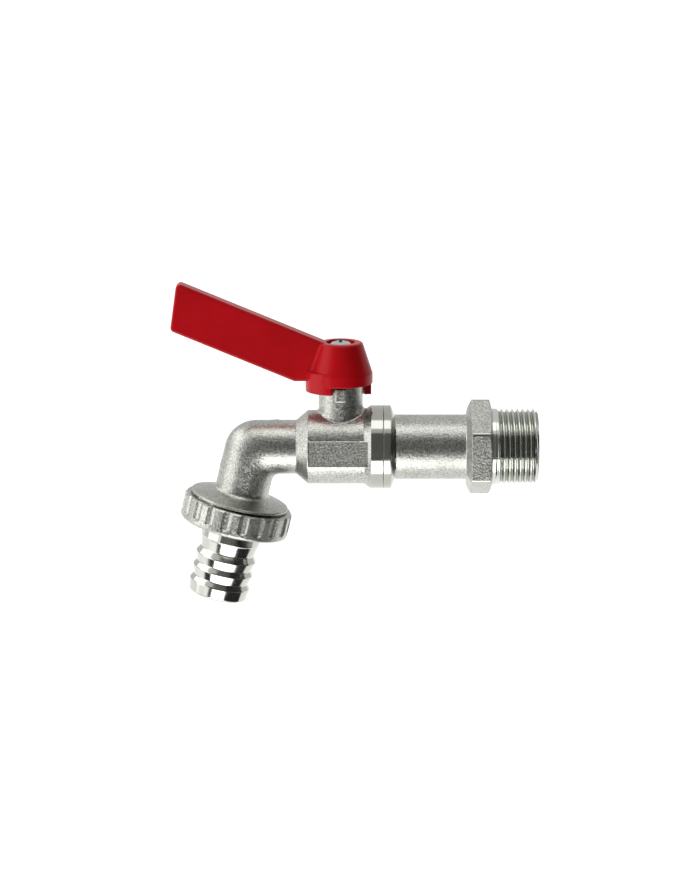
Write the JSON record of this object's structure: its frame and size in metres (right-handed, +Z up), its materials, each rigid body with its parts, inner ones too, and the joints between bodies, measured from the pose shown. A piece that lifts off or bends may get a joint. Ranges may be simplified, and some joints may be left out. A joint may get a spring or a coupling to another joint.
{
  "type": "hose tap",
  "caption": "Nickel-plated ball-valve hose tap: threaded inlet with spanner hexagon, quarter-turn red lever, bent spout, and fluted union nut holding a barbed hose tail.",
  "frame": {"origin": "on the pipe axis, at the wall face of the spanner hexagon, where the inlet thread starts", "axes": "+X along the inlet thread, into the wall or pipe; +Z up, along the stem to the lever; the spout points to -X"},
  "size_m": [0.126, 0.0378, 0.112],
  "materials": {
    "cast_nickel": "satin nickel plate on cast brass",
    "bright_nickel": "bright nickel plate on turned brass",
    "chromed_brass": "polished chrome plate on brass",
    "plain_brass": "turned brass",
    "ptfe": "white PTFE",
    "black_rubber": "black sealing rubber",
    "red_enamel": "gloss red enamel on die-cast aluminium",
    "zinc_steel": "zinc-plated steel"
  },
  "bodies": {
    "valve": {"valve_body": "cast_nickel", "inlet_connector": "bright_nickel", "ball_seat_inlet": "ptfe", "ball_seat_outlet": "ptfe", "stem_thrust_washer": "ptfe"},
    "lever": {"lever_handle": "red_enamel", "handle_screw": "zinc_steel", "screw_lock_washer": "zinc_steel", "stem": "plain_brass", "stem_o_ring_lower": "black_rubber", "stem_o_ring_upper": "black_rubber", "ball": "chromed_brass"},
    "hose_tail": {"hose_tail": "bright_nickel", "union_gasket": "black_rubber"},
    "union_nut": {"union_nut": "cast_nickel"}
  },
  "joints": [
    {"name": "lever_turn", "type": "hinge", "parent": "valve", "child": "lever", "pos_m": [-0.0519, 0, 0], "axis": [0, 0, -1], "range_deg": [0, 90]},
    {"name": "tail_slide", "type": "slide", "parent": "valve", "child": "hose_tail", "axis": [-0.2334, 0, -0.9724], "range_m": [0, 0.00462]},
    {"name": "nut_turn", "type": "hinge", "parent": "hose_tail", "child": "union_nut", "pos_m": [-0.0825, 0, 0], "axis": [-0.2334, 0, -0.9724], "range_deg": [0, 720]}
  ],
  "couplings": [
    {"joint": "nut_turn", "follows": "tail_slide", "rad_per_m": 2721.2}
  ]
}
